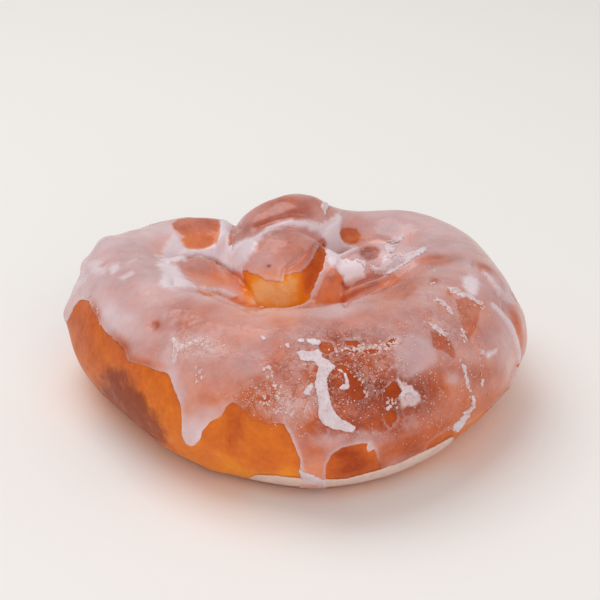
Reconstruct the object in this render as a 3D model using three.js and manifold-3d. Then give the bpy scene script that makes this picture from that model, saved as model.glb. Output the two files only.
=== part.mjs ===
// A sweet pretzel: one rope of proved dough, fat at its belly and thin at its arms, which are twisted
// round each other behind the belly and laid down on its two shoulders. Baking fuses the rope where it
// touches itself, so the whole pretzel is one solid.
// Millimetres, +Z up, belly towards -Y. The origin is the middle of the footprint, on the ground.

import * as THREE from "three";
import { mergeVertices } from "three/addons/utils/BufferGeometryUtils.js";
import Module from "manifold-3d";

const wasm = await Module();
wasm.setup();

// Driving dimensions
const BELLY_WIDTH = 55; // across the fattest stretch of the rope
const BELLY_HEIGHT = 44.5;
const SHOULDER_WIDTH = 44; // where the belly turns back on each side
const SHOULDER_HEIGHT = 42;
const LOBE_WIDTH = 30; // the two thin loops at the back
const LOBE_HEIGHT = 38;
const ARM_WIDTH = 27; // the twisted arms
const TWIST_HEIGHT = 48.5; // the highest crossing
const CUT = 3; // how much of the round underside is pressed flat in baking
const UNDERCUT = 0.2; // how much the rope narrows towards its underside

// A station of the rope: where its middle is in plan, its width, and how high its upper and lower side lie.
const station = (x, y, width, top, bottom = -CUT) => ({ x, y, width, top, bottom });

// The belly with its shoulders and lobes, an open hoop from the left lobe round the front to the right lobe.
const HOOP = [
  station(6, 42, ARM_WIDTH - 2, LOBE_HEIGHT - 9),
  station(-9, 48.5, LOBE_WIDTH - 4, LOBE_HEIGHT - 7),
  station(-20, 51.5, LOBE_WIDTH - 2, LOBE_HEIGHT - 2.5),
  station(-31, 51, LOBE_WIDTH, LOBE_HEIGHT - 0.5),
  station(-44, 41, LOBE_WIDTH + 1, LOBE_HEIGHT),
  station(-49.5, 24, SHOULDER_WIDTH - 10, SHOULDER_HEIGHT - 2),
  station(-43.5, 6, SHOULDER_WIDTH - 5, SHOULDER_HEIGHT - 0.5),
  station(-32.8, -9, BELLY_WIDTH - 12, BELLY_HEIGHT - 2.5),
  station(-20.5, -24, BELLY_WIDTH - 9, BELLY_HEIGHT - 2),
  station(-6, -32.5, BELLY_WIDTH - 6, BELLY_HEIGHT - 1),
  station(8, -35, BELLY_WIDTH - 3, BELLY_HEIGHT),
  station(20, -30, BELLY_WIDTH - 4, BELLY_HEIGHT + 0.5),
  station(30, -20.5, BELLY_WIDTH - 7, BELLY_HEIGHT + 0.5),
  station(40, -7, BELLY_WIDTH - 10, BELLY_HEIGHT - 0.5),
  station(46.5, 7, SHOULDER_WIDTH - 1, SHOULDER_HEIGHT),
  station(46, 23, SHOULDER_WIDTH - 8, SHOULDER_HEIGHT - 1),
  station(42.5, 41, LOBE_WIDTH + 4, LOBE_HEIGHT + 2),
  station(28, 52, LOBE_WIDTH + 1, LOBE_HEIGHT + 1.5),
  station(12, 50, LOBE_WIDTH - 7, LOBE_HEIGHT - 6),
];

// The right lobe's arm goes over the far crossing, from right to left.
const FAR_CROSSING = [
  station(38, 45.5, LOBE_WIDTH - 3, LOBE_HEIGHT - 0.5, 2),
  station(28, 51.5, LOBE_WIDTH - 2, LOBE_HEIGHT + 0.5, 2),
  station(14, 48.5, LOBE_WIDTH - 6, LOBE_HEIGHT + 4),
  station(1, 43.5, LOBE_WIDTH - 1, TWIST_HEIGHT, 4),
  station(-11, 39, ARM_WIDTH, TWIST_HEIGHT - 4, 4),
  station(-19, 32, ARM_WIDTH - 5, LOBE_HEIGHT - 2),
];

// It then dips and goes behind the other arm.
const DIP = [
  station(-14, 47, ARM_WIDTH - 9, LOBE_HEIGHT - 2),
  station(-16, 34, ARM_WIDTH - 10, LOBE_HEIGHT - 3),
  station(-14, 23, ARM_WIDTH - 5, LOBE_HEIGHT - 3),
  station(0, 16, ARM_WIDTH - 4, 28),
];

// The left lobe's arm comes up on the right and goes over the near crossing, from right to left.
const NEAR_CROSSING = [
  station(8, 31, ARM_WIDTH - 3, 37),
  station(4, 24, ARM_WIDTH + 1, 44),
  station(-4, 21, ARM_WIDTH + 7, 46.5),
  station(-12, 21, ARM_WIDTH + 2, 43),
  station(-20, 20, ARM_WIDTH - 6, 34),
];

// Each arm's end lies on the inside of a shoulder.
const LEFT_END = [
  station(-2, 5, ARM_WIDTH - 11, 22, 0),
  station(-14, 9.5, ARM_WIDTH - 6, 31, 0),
  station(-27, 12, ARM_WIDTH, 40, 6),
  station(-41, 8, ARM_WIDTH, 42, 10),
];
const RIGHT_END = [
  station(0, 12, ARM_WIDTH - 11, 24),
  station(9, 14, ARM_WIDTH - 5, 36),
  station(17, 16, ARM_WIDTH - 1, 42),
  station(25, 17, ARM_WIDTH, 43.5, 2),
  station(36, 14, ARM_WIDTH, 43.5, 8),
  station(47, 7, ARM_WIDTH, 41, 10),
];

const RING_STEP = 3.4; // between two rings of a strand
const FACET = 4.4; // between two points of a ring
const CAP_RINGS = 5; // rings of a strand's round end
const CAP_REACH = 1 / 3; // length of a round end, as a share of the strand's width there
const REACH = 400; // well beyond the pretzel on every side
const WELD = 1e-3; // points nearer than this are one point
const CRUST_COLOUR = 0xb8682f;

// Smooth values between the stations: a curve through their middles, and their widths and heights along it.
function railOf(stations) {
  const middles = stations.map((s) => new THREE.Vector3(s.x, s.y, (s.top + s.bottom) / 2));
  const sizes = stations.map((s) => new THREE.Vector3(s.width / 2, (s.top - s.bottom) / 2, 0));
  return {
    line: new THREE.CatmullRomCurve3(middles, false, "centripetal"),
    size: new THREE.CatmullRomCurve3(sizes, false, "catmullrom", 0.5),
  };
}

// The curve's own parameter that lies at a share of its length, so that widths follow the line.
function placeAt(rail, share) {
  const t = rail.line.getUtoTmapping(THREE.MathUtils.clamp(share, 0, 1));
  const half = rail.size.getPoint(t);
  return { middle: rail.line.getPoint(t), along: rail.line.getTangent(t), half };
}

// A strand is a capsule laid along its rail: its round ends become the strand's ends.
function strandOf(stations) {
  const rail = railOf(stations);
  const first = stations[0];
  const last = stations.at(-1);
  const length = rail.line.getLength();
  const cap = Math.min((CAP_REACH * (first.width + last.width)) / 2, length / 4);
  const straight = length - 2 * cap;
  const girth = Math.PI * Math.max(...stations.map((s) => (s.width + s.top - s.bottom) / 2));
  const capsule = new THREE.CapsuleGeometry(
    cap,
    straight,
    CAP_RINGS,
    Math.round(girth / FACET),
    Math.round(straight / RING_STEP),
  );
  const points = capsule.getAttribute("position");
  const side = new THREE.Vector3();
  for (let i = 0; i < points.count; i++) {
    const share = 0.5 + points.getY(i) / length;
    const { middle, along, half } = placeAt(rail, share);
    const across = points.getX(i) / cap;
    const up = points.getZ(i) / cap;
    const narrowed = up < 0 ? 1 - UNDERCUT * up * up : 1;
    side.set(along.y, -along.x, 0).normalize();
    middle.addScaledVector(side, across * narrowed * half.x);
    points.setXYZ(i, middle.x, middle.y, middle.z + up * half.y);
  }
  return solidOf(capsule);
}

// A closed geometry as a solid that can be joined and cut.
function solidOf(geometry) {
  const bare = geometry.clone();
  bare.deleteAttribute("normal");
  bare.deleteAttribute("uv");
  const merged = mergeVertices(bare, WELD);
  const mesh = new wasm.Mesh({
    numProp: 3,
    vertProperties: new Float32Array(merged.getAttribute("position").array),
    triVerts: new Uint32Array(merged.index.array),
  });
  return new wasm.Manifold(mesh);
}

function geometryOf(solid) {
  const { vertProperties, triVerts } = solid.getMesh();
  const geometry = new THREE.BufferGeometry();
  geometry.setAttribute("position", new THREE.BufferAttribute(vertProperties, 3));
  geometry.setIndex(new THREE.BufferAttribute(triVerts, 1));
  return geometry;
}

// The strands joined and pressed flat underneath. The small gaps shut in between them are baked solid,
// so only the outer shell is kept.
function doughOf(strands) {
  const joined = strands.map(strandOf).reduce((whole, strand) => whole.add(strand));
  const under = new THREE.BoxGeometry(REACH, REACH, REACH).translate(0, 0, -REACH / 2);
  const shells = joined.subtract(solidOf(under)).decompose();
  const outer = shells.filter((shell) => shell.volume() > 0);
  return geometryOf(outer.reduce((whole, shell) => whole.add(shell)));
}

const dough = doughOf([HOOP, FAR_CROSSING, DIP, NEAR_CROSSING, LEFT_END, RIGHT_END]);
dough.computeBoundingBox();
const middle = dough.boundingBox.getCenter(new THREE.Vector3());

const crust = new THREE.MeshStandardMaterial({ color: CRUST_COLOUR, roughness: 0.6, metalness: 0 });
const pretzel = new THREE.Mesh(dough, crust);
pretzel.name = "pretzel";
pretzel.position.set(-middle.x, -middle.y, 0);

const part = new THREE.Group();
part.add(pretzel);

export default part;
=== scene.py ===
import math
import random

import bmesh
import bpy
import numpy as np
from mathutils import Matrix, Vector, noise
from mathutils.bvhtree import BVHTree


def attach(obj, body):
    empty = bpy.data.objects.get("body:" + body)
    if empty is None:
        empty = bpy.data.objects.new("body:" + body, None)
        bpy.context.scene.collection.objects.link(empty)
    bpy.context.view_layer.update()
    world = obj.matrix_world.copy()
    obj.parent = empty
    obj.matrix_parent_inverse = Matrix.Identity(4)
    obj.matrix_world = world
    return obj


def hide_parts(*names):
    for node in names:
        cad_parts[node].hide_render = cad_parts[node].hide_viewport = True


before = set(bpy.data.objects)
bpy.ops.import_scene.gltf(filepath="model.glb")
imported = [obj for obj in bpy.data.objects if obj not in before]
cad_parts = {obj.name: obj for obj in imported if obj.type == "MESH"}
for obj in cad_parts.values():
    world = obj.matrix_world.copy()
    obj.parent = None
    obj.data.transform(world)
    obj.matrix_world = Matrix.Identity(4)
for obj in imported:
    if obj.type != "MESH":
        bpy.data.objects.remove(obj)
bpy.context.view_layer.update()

# The photograph is taken from in front of the belly and looks down on it. The camera stands there,
# and the same numbers tell which point of the photograph each point of the pretzel falls on.
MM = 0.001
EYE = Vector((1.5, -436.8, 236)) * MM
EYE_PITCH = math.radians(25)
FOCAL_LENGTH = 1700  # pixels of the photograph
PHOTO_WIDTH = 600
PIXELS_PER_MM = 3.5  # at the pretzel
SENSOR = 36  # mm
NEAREST_SHOWN = 10 * MM


def placed(name, data):
    """A new object in the scene."""
    made = bpy.data.objects.new(name, data)
    bpy.context.scene.collection.objects.link(made)
    return made


camera = placed("camera", bpy.data.cameras.new("camera"))
camera.data.sensor_width = SENSOR
camera.data.lens = SENSOR * FOCAL_LENGTH / PHOTO_WIDTH
camera.data.clip_start = NEAREST_SHOWN
camera.location = EYE
camera.rotation_euler = (math.pi / 2 - EYE_PITCH, 0, 0)
bpy.context.scene.camera = camera


def on_photo(points):
    """Where points, in metres, fall on the photograph, in its pixels."""
    away = points - np.array(EYE)
    depth = away[:, 1] * math.cos(EYE_PITCH) - away[:, 2] * math.sin(EYE_PITCH)
    down = -away[:, 1] * math.sin(EYE_PITCH) - away[:, 2] * math.cos(EYE_PITCH)
    flat = np.stack([away[:, 0], down], axis=1) / depth[:, None]
    return flat * FOCAL_LENGTH + PHOTO_WIDTH / 2


# The pretzel is one rope of sweet yeast dough, shaped, proved and baked, which fuses it into one body.
# Its crust is smooth and uneven, creased where the strands meet and flat where it lay on the tray.
# It is browned on top and low on its flanks, pale in the creases, and scorched here and there.
VOXEL = 1.1 * MM
FIRST_ROUNDS, SOFT_ROUNDS, LAST_ROUNDS = 4, 24, 3  # of smoothing, which takes away the frame's facets
CREASE = 0.06 * MM  # a hollow this sharp is a crease, and is kept
CREASE_HOLD = 0.85  # share of the smoothing that a crease is spared
RELIEF = ((26, 0.6, 1), (10, 0.24, 2), (3.2, 0.05, 3))  # lump size, height, both in mm, and seed
RELIEF_FADE = (0.5 * MM, 6 * MM)  # heights between which the lumps fade in
HIDDEN_STEP = 0.7 * MM  # a point this far behind the first thing seen is hidden
HORIZON_ROUNDS = 7  # mesh edges over which the seen side fades into the hidden one
SPOT_HOLD = 1.6  # above 1, a painted spot keeps its level further out
FAR = 30.0  # pixels: distances from a line or an outline aren't told apart beyond this

# Dents (above 0) and swellings on the seen side: photo x, y, half width, half height, lean if any, mm
DENTS = (
    (511, 299, 10, 12, 2.2), (86, 264, 9, 9, -0.9), (104, 240, 15, 10, -40, -3.0),
    (124, 228, 9, 5, -15, -1.9), (66, 313, 9, 12, -1.5), (79, 278, 6, 7, 0.7), (236, 228, 9, 7, 1.6),
    (345, 210, 14, 8, 1.0), (516, 374, 8, 12, 0.8), (160, 224, 16, 6, 0.8), (215, 477, 18, 7, 25, -1.3),
    (156, 326, 6, 6, 0.7), (234, 430, 9, 26, 0.8), (120, 350, 22, 10, 25, 0.5), (320, 197, 12, 6, -0.8),
    (494, 283, 5, 20, -38, 0.9), (478, 292, 10, 10, -0.7), (396, 290, 26, 8, -15, 0.9),
    (440, 256, 22, 4, -10, 0.7), (202, 263, 24, 8, 14, -1.5),
)
# Creases on the seen side: how deep, in mm, how wide, in pixels, and the photo line each follows
CREASES = (
    (1.3, 4, ((174, 282), (188, 286), (202, 288), (215, 293), (232, 299), (250, 309), (262, 313))),
    (0.8, 2.5, ((184, 262), (196, 257), (212, 260), (226, 268), (238, 277), (247, 290), (256, 306))),
    (1.5, 3.5, ((346, 287), (362, 281), (378, 275), (390, 268), (402, 261))),
    (1.0, 3, ((345, 306), (346, 296), (345, 286))),
    (0.7, 4, ((346, 301), (360, 292), (376, 284), (390, 277))),
    (0.5, 3, ((335, 266), (338, 256), (350, 247), (362, 242), (378, 239), (394, 243))),
    (1.0, 2.5, ((230, 230), (232, 240), (234, 252))),
    (0.6, 3, ((282, 279), (285, 269), (296, 261), (304, 253))),
    (1.6, 3, ((474, 264), (484, 270), (492, 279), (500, 290), (508, 304))),
    (1.3, 3, ((506, 304), (512, 316), (517, 328), (521, 342), (522, 356), (521, 368))),
    (0.5, 3, ((256, 228), (274, 221), (294, 216), (312, 219))),
    (-0.6, 4, ((470, 270), (482, 279), (492, 290), (500, 303))),
)
# The parts of the photograph that need a finer mesh: left, top, right, bottom
FINE_BOXES = ((232, 335, 530, 486), (150, 186, 420, 314), (420, 255, 524, 335), (86, 248, 150, 286),
              (160, 332, 232, 364))
# Bake of the seen crust, from 0, pale, to 1, dark, with painted shade in one row: photo x, y, half width,
# half height, lean if any and level. Here and below, a level beyond either end makes sure of a small spot's
# middle.
BAKE_AND_SHADE_SPOTS = (
    (100, 335, 26, 40, -10, 0.56), (170, 395, 46, 36, 20, 0.47), (225, 440, 40, 26, 10, 0.42),
    (190, 455, 40, 10, 36, 0.34), (262, 440, 26, 24, 0.4), (270, 474, 50, 9, 3, 0.16),
    (230, 436, 3.5, 20, 0.64), (236, 434, 5, 22, 2, 0.62), (241, 446, 3, 10, 0.52),
    (228, 462, 20, 6, 28, 0.26), (268, 462, 16, 10, 0.44), (256, 405, 26, 12, 0.56),
    (310, 440, 20, 36, 0.5), (350, 468, 34, 9, -8, 0.74), (352, 385, 34, 44, 0.85),
    (396, 396, 30, 36, 0.84), (339, 376, 7, 8, 0.66), (340, 402, 12, 14, 0.72), (360, 345, 54, 12, 0.76),
    (326, 348, 10, 8, 0.74), (370, 422, 50, 18, 0.7), (410, 448, 30, 12, -25, 0.66),
    (440, 438, 16, 8, -25, 0.56), (468, 316, 16, 26, 0.56), (444, 338, 14, 16, 40, 0.72),
    (521, 330, 10, 36, 0.5), (492, 398, 22, 10, -30, 0.5), (313, 468, 11, 9, 0.3),
    (200, 265, 16, 5, 12, 0.66), (198, 226, 22, 9, 0.62), (200, 243, 22, 8, 0.36),
    (270, 294, 34, 20, 0.02), (240, 288, 10, 18, 0.3), (316, 264, 8, 26, 14, 0.74),
    (330, 292, 14, 10, 0.4), (350, 231, 14, 6, 0.6), (354, 243, 10, 3, 0.42), (156, 326, 5, 4, 0.8),
    (368, 254, 10, 6, 0.86), (269, 266, 1.8, 1.3, 1.1), (289, 243, 1.2, 1, 1.0), (312, 300, 5, 6, 0.1),
    (346, 454, 14, 7, 0.84), (380, 362, 26, 13, 0.66), (314, 294, 5, 8, 0.5), (234, 280, 8, 8, 0.46),
    # The first row here darkens the right lobe's top: partly its bake, partly painted shade, as that side
    # faces the lamp.
    (388, 228, 16, 9, 0.84), (330, 277, 8, 8, 0.62), (394, 366, 13, 14, 0.72), (484, 372, 28, 20, 0.6),
)
# The scorched places: the same, and how strong
SCORCHES = (
    (118, 374, 15, 8, 12, 0.85), (108, 392, 22, 14, 40, 0.8), (128, 398, 16, 14, 40, 0.75),
    (134, 418, 24, 12, 45, 0.95), (156, 434, 15, 7, 45, 0.85), (148, 413, 20, 8, 55, 0.9),
    (76, 318, 9, 14, 10, 0.25),
)

# Bake where no spot says otherwise, and how much it differs in places
FLANK_BAKE, UNDERSIDE_BAKE = 0.42, 0.6
TOP_DARKER, FOOT_PALER, INNER_PALER, CREASE_PALER = 0.22, 0.16, 0.3, 0.25
MIDDLE = (0, 4)  # mm: what faces this point is an inner wall of an opening
CROWN = 42  # mm: the inner walls end at this height
ON_TRAY = 0.05  # mm: what is lower lay on the tray
# The crust's colours, from pale to dark, and the scorch's
CRUST_SHADES = (
    (0.0, (246, 184, 122)), (0.2, (246, 150, 34)), (0.4, (230, 119, 33)), (0.6, (206, 95, 29)),
    (0.8, (170, 64, 12)), (1.0, (124, 38, 6)),
)
SCORCH_SHADE = (140, 52, 8)
CRUST_SHINE = 0.44  # roughness
CRUST_SPECULAR = 0.22
CRUST_BUMP = (0.55, 0.16)  # strength, and height in mm

dough = placed("dough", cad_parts["pretzel"].data.copy())


def keep_modified(piece):
    """Applies the modifiers of a piece to its mesh."""
    shaped = piece.evaluated_get(bpy.context.evaluated_depsgraph_get())
    mesh = bpy.data.meshes.new_from_object(shaped)
    mesh.name = piece.name
    piece.modifiers.clear()
    piece.data = mesh


def read(items, name, width, kind=np.float32):
    """One value of every item of a mesh: width numbers each."""
    values = np.zeros(len(items) * width, kind)
    items.foreach_get(name, values)
    return values.reshape(-1, width)


def points_of(mesh):
    return read(mesh.vertices, "co", 3).astype(float)


def normals_of(mesh):
    return read(mesh.vertex_normals, "vector", 3).astype(float)


def put_points(mesh, points):
    mesh.vertices.foreach_set("co", points.astype(np.float32).ravel())
    mesh.update()


def put_field(mesh, name, values):
    """Keeps one number for each point of a mesh, for its material and for later pieces."""
    field = mesh.attributes.new(name, "FLOAT", "POINT")
    field.data.foreach_set("value", values.astype(np.float32))


def field_of(mesh, name):
    return read(mesh.attributes[name].data, "value", 1)[:, 0].astype(float)


def edges_of(mesh):
    return read(mesh.edges, "vertices", 2, np.int32)


def around(values, edges):
    """The mean of each point's neighbours."""
    ends = np.concatenate([edges[:, 0], edges[:, 1]])
    others = np.concatenate([edges[:, 1], edges[:, 0]])
    count = np.maximum(np.bincount(ends, minlength=len(values)), 1)
    if values.ndim == 1:
        return np.bincount(ends, values[others], len(values)) / count
    columns = [np.bincount(ends, values[others, axis], len(values)) for axis in range(3)]
    return np.stack(columns, axis=1) / count[:, None]


def smoothed(points, edges, rounds, share):
    """The points drawn by that share, round after round, towards the middle of their neighbours."""
    for _ in range(rounds):
        points = points + share * (around(points, edges) - points)
    return points


def rumple(points, size, seed=0):
    """Smooth noise between about -1 and 1 whose lumps are of that size, in mm."""
    shift = Vector((seed * 7.3, seed * 3.1, seed * 5.7))
    return np.array([noise.noise(Vector(place) + shift) for place in points / (size * MM)])


def ramp(values, low, high):
    """0 up to low, 1 from high, and smooth between."""
    share = np.clip((values - low) / (high - low), 0, 1)
    return share * share * (3 - 2 * share)


def spot(pixels, x, y, half_width, half_height, lean=0):
    """A soft spot on the photograph, 1 in its middle; lean turns it clockwise, in degrees."""
    turn = math.radians(lean)
    right, down = pixels[:, 0] - x, pixels[:, 1] - y
    along = right * math.cos(turn) + down * math.sin(turn)
    across = down * math.cos(turn) - right * math.sin(turn)
    return np.exp(-((along / half_width) ** 2) - (across / half_height) ** 2)


def spots(pixels, rows):
    """Soft spots added up: each row is a spot's place and size, and its strength."""
    return sum(row[-1] * spot(pixels, *row[:-1]) for row in rows)


def painted(pixels, values, rows):
    """The values with soft spots laid over them: each row is a spot's place and size, and its level."""
    for *place, level in rows:
        share = 1 - (1 - spot(pixels, *place)) ** SPOT_HOLD
        values = values + share * (level - values)
    return values


def in_box(pixels, box):
    return np.all((pixels > box[:2]) & (pixels < box[2:]), axis=1)


def finer(mesh, wanted, name):
    """A copy of a mesh whose faces between wanted points are cut in four."""
    skin = bmesh.new()
    skin.from_mesh(mesh)
    skin.verts.ensure_lookup_table()
    chosen = set(np.flatnonzero(wanted).tolist())
    cut = [e for e in skin.edges if e.verts[0].index in chosen and e.verts[1].index in chosen]
    bmesh.ops.subdivide_edges(skin, edges=cut, cuts=1, use_grid_fill=True)
    result = bpy.data.meshes.new(name)
    skin.to_mesh(result)
    skin.free()
    return result


def beside(pixels, line):
    """How far points are from an open line on the photograph, in pixels."""
    stops = np.array(line, float)
    nearest = np.full(len(pixels), FAR**2)
    for start, end in zip(stops[:-1], stops[1:]):
        side = end - start
        away = pixels - start
        share = np.clip(away @ side / (side @ side), 0, 1)
        gap = away - share[:, None] * side
        nearest = np.minimum(nearest, (gap * gap).sum(axis=1))
    return np.sqrt(nearest)


def tree_of(*pieces):
    """What a ray may hit: the given pieces together."""
    joined = bmesh.new()
    for piece in pieces:
        joined.from_mesh(piece.data)
    tree = BVHTree.FromBMesh(joined)
    joined.free()
    return tree


def seen_share(piece, points, edges):
    """1 where the photograph shows the surface, falling to 0 some millimetres behind its horizon."""
    tree = tree_of(piece)
    plain = np.zeros(len(points))
    for index, point in enumerate(points):
        away = Vector(point) - EYE
        hit = tree.ray_cast(EYE, away)
        plain[index] = hit[3] is None or hit[3] > away.length - HIDDEN_STEP
    share = plain.copy()
    for _ in range(HORIZON_ROUNDS):
        share = np.maximum(plain, around(share, edges))
    return share


loose = bmesh.new()
loose.from_mesh(dough.data)
bmesh.ops.remove_doubles(loose, verts=loose.verts, dist=0.001 * MM)
loose.to_mesh(dough.data)
loose.free()
remesh = dough.modifiers.new("even", "REMESH")
remesh.mode = "VOXEL"
remesh.voxel_size = VOXEL
keep_modified(dough)

links = edges_of(dough.data)
points = smoothed(points_of(dough.data), links, FIRST_ROUNDS, 0.5)
put_points(dough.data, points)
normals = normals_of(dough.data)
hollow = np.einsum("ij,ij->i", around(points, links) - points, normals)
for _ in range(3):
    hollow = around(hollow, links)
softness = 0.5 * (1 - CREASE_HOLD * ramp(hollow, 0.35 * CREASE, CREASE))
points = smoothed(points, links, SOFT_ROUNDS, softness[:, None])
put_points(dough.data, points)

seen = seen_share(dough, points, links)
pixels = on_photo(points)
put_field(dough.data, "seen", seen)
put_field(dough.data, "hollow", hollow)
detailed = (seen > 0.5) & np.any([in_box(pixels, box) for box in FINE_BOXES], axis=0)
dough.data = finer(dough.data, detailed, "dough")
points = smoothed(points_of(dough.data), edges_of(dough.data), LAST_ROUNDS, 0.4)
put_points(dough.data, points)
seen = field_of(dough.data, "seen")
hollow = field_of(dough.data, "hollow")
pixels = on_photo(points)
normals = normals_of(dough.data)
relief = sum(height * rumple(points, size, seed) for size, height, seed in RELIEF)
relief *= ramp(points[:, 2], *RELIEF_FADE)
relief -= seen * spots(pixels, DENTS)
for deep, wide, line in CREASES:
    relief -= seen * deep * np.exp(-((beside(pixels, line) / wide) ** 2))
points += normals * (relief * MM)[:, None]
points[:, 2] = np.maximum(points[:, 2], 0)
put_points(dough.data, points)
pixels = on_photo(points)
normals = normals_of(dough.data)

height = points[:, 2] / MM
outward = points[:, :2] - np.array(MIDDLE) * MM
outward = np.einsum("ij,ij->i", outward, normals[:, :2]) / np.linalg.norm(outward, axis=1)
inner_wall = ramp(-outward, 0.15, 0.6) * ramp(CROWN - height, 0, 8)
bake_and_shade = FLANK_BAKE + TOP_DARKER * ramp(height, 10, 40) - FOOT_PALER * ramp(12 - height, 0, 8)
bake_and_shade += 0.12 * rumple(points, 18, 4) + 0.06 * rumple(points, 6, 5)
bake_and_shade -= INNER_PALER * inner_wall + CREASE_PALER * ramp(hollow, 0.4 * CREASE, 1.5 * CREASE)
bake_and_shade += seen * (painted(pixels, bake_and_shade, BAKE_AND_SHADE_SPOTS) - bake_and_shade)
bake_and_shade = np.where(height < ON_TRAY, UNDERSIDE_BAKE + 0.15 * rumple(points, 12, 6), bake_and_shade)
scorch = seen * spots(pixels, SCORCHES)
scorch += (1 - seen) * 0.9 * ramp(rumple(points, 22, 7), 0.25, 0.5) * ramp(26 - height, 0, 12)
put_field(dough.data, "bake_and_shade", bake_and_shade)
put_field(dough.data, "scorch", np.clip(scorch, 0, 1))
put_field(dough.data, "inner", inner_wall)
dough.data.shade_smooth()


def node(tree, kind, settings=(), **sockets):
    """Adds a node; a socket takes a value or another node's output, and is named by its place."""
    made = tree.nodes.new("ShaderNode" + kind)
    for name, value in dict(settings).items():
        setattr(made, name, value)
    for place, value in sockets.items():
        socket = made.inputs[int(place[1:])]
        if isinstance(value, bpy.types.NodeSocket):
            tree.links.new(value, socket)
        else:
            socket.default_value = value
    return made


def calculate(tree, operation, first, second=0.0):
    settings = {"operation": operation}
    return node(tree, "Math", settings, _0=first, _1=second).outputs[0]


def field(tree, name):
    return node(tree, "Attribute", {"attribute_name": name}).outputs["Fac"]


def swing(tree, size, amount, detail=2.0, warp=0.0):
    """Noise of that size in mm, from -amount to amount."""
    place = node(tree, "TexCoord").outputs["Object"]
    cloud = node(tree, "TexNoise", _0=place, _2=1 / (size * MM), _3=detail, _8=warp)
    spread = node(tree, "MapRange", _0=cloud.outputs[0], _1=0.25, _2=0.75, _3=-amount, _4=amount)
    return spread.outputs[0]


def step(tree, value, low, high, bottom=0.0, top=1.0):
    settings = {"interpolation_type": "SMOOTHSTEP"}
    made = node(tree, "MapRange", settings, _0=value, _1=low, _2=high, _3=bottom, _4=top)
    return made.outputs[0]


def total(tree, *values):
    result = values[0]
    for value in values[1:]:
        result = calculate(tree, "ADD", result, value)
    return result


def tinted(tree, share, first, second):
    """Two colours mixed by a share."""
    settings = {"data_type": "RGBA"}
    return node(tree, "Mix", settings, _0=share, _6=first, _7=second).outputs[2]


def colour(red, green, blue):
    """A colour as a screen shows it, from 0 to 255, for a shader."""
    shares = (red / 255, green / 255, blue / 255)
    linear = [c / 12.92 if c < 0.04 else ((c + 0.055) / 1.055) ** 2.4 for c in shares]
    return (*linear, 1)


def crust_colour(tree, shift=0.0):
    """The crust's colour, from pale through gold and brown to dark, blotched and speckled; where its bake
    carries painted shade, so does this colour.
    """
    blotches = total(tree, swing(tree, 7, 0.1, 3), swing(tree, 1.6, 0.055), swing(tree, 0.5, 0.025))
    shades = node(tree, "ValToRGB", _0=total(tree, field(tree, "bake_and_shade"), blotches, shift))
    stops = shades.color_ramp.elements
    for place, shade in CRUST_SHADES[1:-1]:
        stops.new(place).color = colour(*shade)
    stops[0].color = colour(*CRUST_SHADES[0][1])
    stops[-1].color = colour(*CRUST_SHADES[-1][1])
    scorched = total(tree, field(tree, "scorch"), swing(tree, 5, 0.3, 3), swing(tree, 1.2, 0.16))
    strength = step(tree, scorched, 0.15, 1.05, 0.0, 0.88)
    return tinted(tree, strength, shades.outputs[0], colour(*SCORCH_SHADE))


def new_material(name):
    """A material with its node tree and its shader."""
    material = bpy.data.materials.new(name)
    material.use_nodes = True
    return material, material.node_tree, material.node_tree.nodes["Principled BSDF"]


def finish(tree, shader, hue, roughness, lumps, strength, height):
    """Joins colour, roughness and bump to the shader; the lumps are that high, in mm."""
    bump = node(tree, "Bump", _0=strength, _1=height * MM)
    tree.links.new(lumps, bump.inputs["Height"])
    tree.links.new(hue, shader.inputs["Base Color"])
    tree.links.new(roughness, shader.inputs["Roughness"])
    tree.links.new(bump.outputs[0], shader.inputs["Normal"])


def cover_with(piece, material):
    piece.data.materials.clear()
    piece.data.materials.append(material)


crust, tree, shader = new_material("crust")
roughness = total(tree, CRUST_SHINE, swing(tree, 5, 0.07), swing(tree, 0.8, 0.06))
lumps = total(tree, swing(tree, 2.6, 0.5), swing(tree, 0.8, 0.22), swing(tree, 0.3, 0.08))
finish(tree, shader, crust_colour(tree), roughness, lumps, *CRUST_BUMP)
shader.inputs["Specular IOR Level"].default_value = CRUST_SPECULAR
cover_with(dough, crust)
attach(dough, "root")
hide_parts("pretzel")

# The sugar glaze was poured over the warm pretzel. It is a milky skin, a fraction of a millimetre
# thick, which ran down the flanks in tongues and has dried, cracked and partly flaked off.
# It is cut out of the dough's own surface along its outline, lifted, and given an edge all round.
GLAZE_OUTLINE = (
    (20, 322), (67, 322), (73, 309), (80, 299), (89, 301), (92, 309), (97, 318), (105, 331), (117, 342),
    (124, 349), (128, 361), (141, 365), (156, 370), (168, 373), (172, 380), (174, 388), (181, 404),
    (182, 416), (182, 434), (187, 444), (194, 446), (200, 440), (202, 431), (210, 422), (222, 416),
    (226, 407), (233, 402), (241, 407), (248, 416), (258, 422), (271, 423), (284, 424), (290, 434),
    (296, 448), (300, 458), (300, 478), (298, 492), (328, 492), (326, 478), (326, 464), (332, 454),
    (342, 447), (356, 444), (368, 443), (366, 448), (368, 453), (374, 449), (377, 458), (383, 476),
    (428, 462), (426, 445), (446, 431), (453, 428), (452, 431), (456, 433), (462, 428), (471, 422),
    (483, 412), (497, 403), (508, 398), (514, 385), (519, 374), (540, 372), (600, 372), (600, 150),
    (20, 150),
)
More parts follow.
